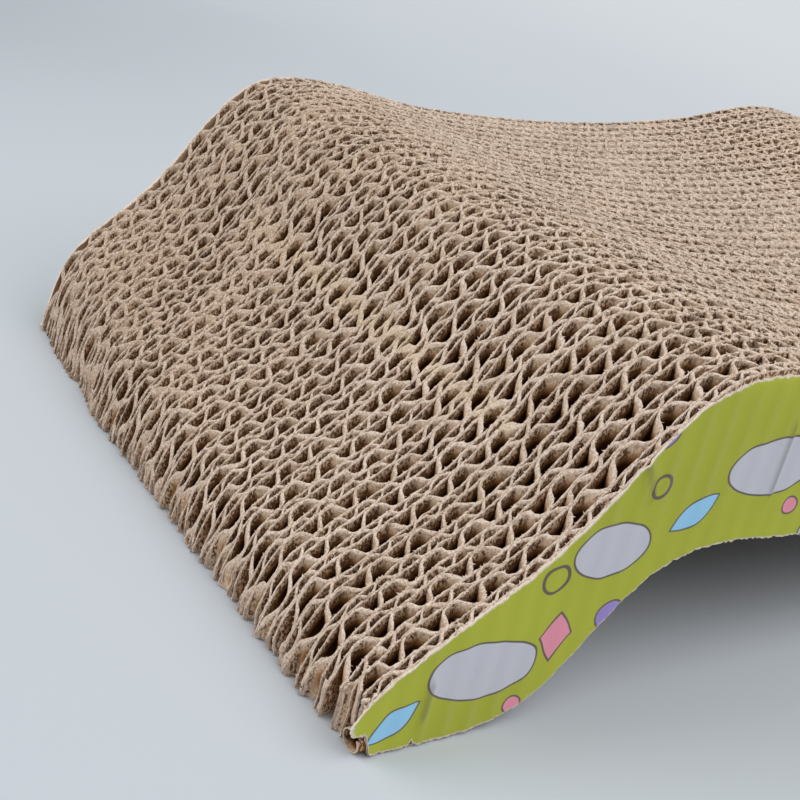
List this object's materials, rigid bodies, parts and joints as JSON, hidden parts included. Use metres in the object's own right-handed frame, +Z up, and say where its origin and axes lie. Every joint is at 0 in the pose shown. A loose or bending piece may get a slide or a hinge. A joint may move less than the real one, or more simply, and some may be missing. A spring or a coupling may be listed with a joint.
{
  "type": "corrugated cat scratcher",
  "caption": "Wave-shaped cardboard cat scratcher of upright double-wall corrugated strips glued side by side, open flutes on top, printed paper on both outer sides, arched underneath.",
  "frame": {"origin": "on the floor, under the middle of the scratcher", "axes": "+X along the wave, +Y across the stacked boards away from the front printed sheet, +Z up"},
  "size_m": [0.4, 0.2256, 0.08],
  "materials": {
    "corrugated_board": "raw kraft, saw cut",
    "printed_paper": "matt print"
  },
  "bodies": {
    "root": {"board_01": "corrugated_board", "board_02": "corrugated_board", "board_03": "corrugated_board", "board_04": "corrugated_board", "board_05": "corrugated_board", "board_06": "corrugated_board", "board_07": "corrugated_board", "board_08": "corrugated_board", "board_09": "corrugated_board", "board_10": "corrugated_board", "board_11": "corrugated_board", "board_12": "corrugated_board", "board_13": "corrugated_board", "board_14": "corrugated_board", "board_15": "corrugated_board", "board_16": "corrugated_board", "board_17": "corrugated_board", "board_18": "corrugated_board", "board_19": "corrugated_board", "board_20": "corrugated_board", "board_21": "corrugated_board", "board_22": "corrugated_board", "board_23": "corrugated_board", "board_24": "corrugated_board", "board_25": "corrugated_board", "board_26": "corrugated_board", "board_27": "corrugated_board", "board_28": "corrugated_board", "board_29": "corrugated_board", "board_30": "corrugated_board", "board_31": "corrugated_board", "printed_sheet_front": "printed_paper", "printed_sheet_back": "printed_paper"}
  },
  "joints": []
}
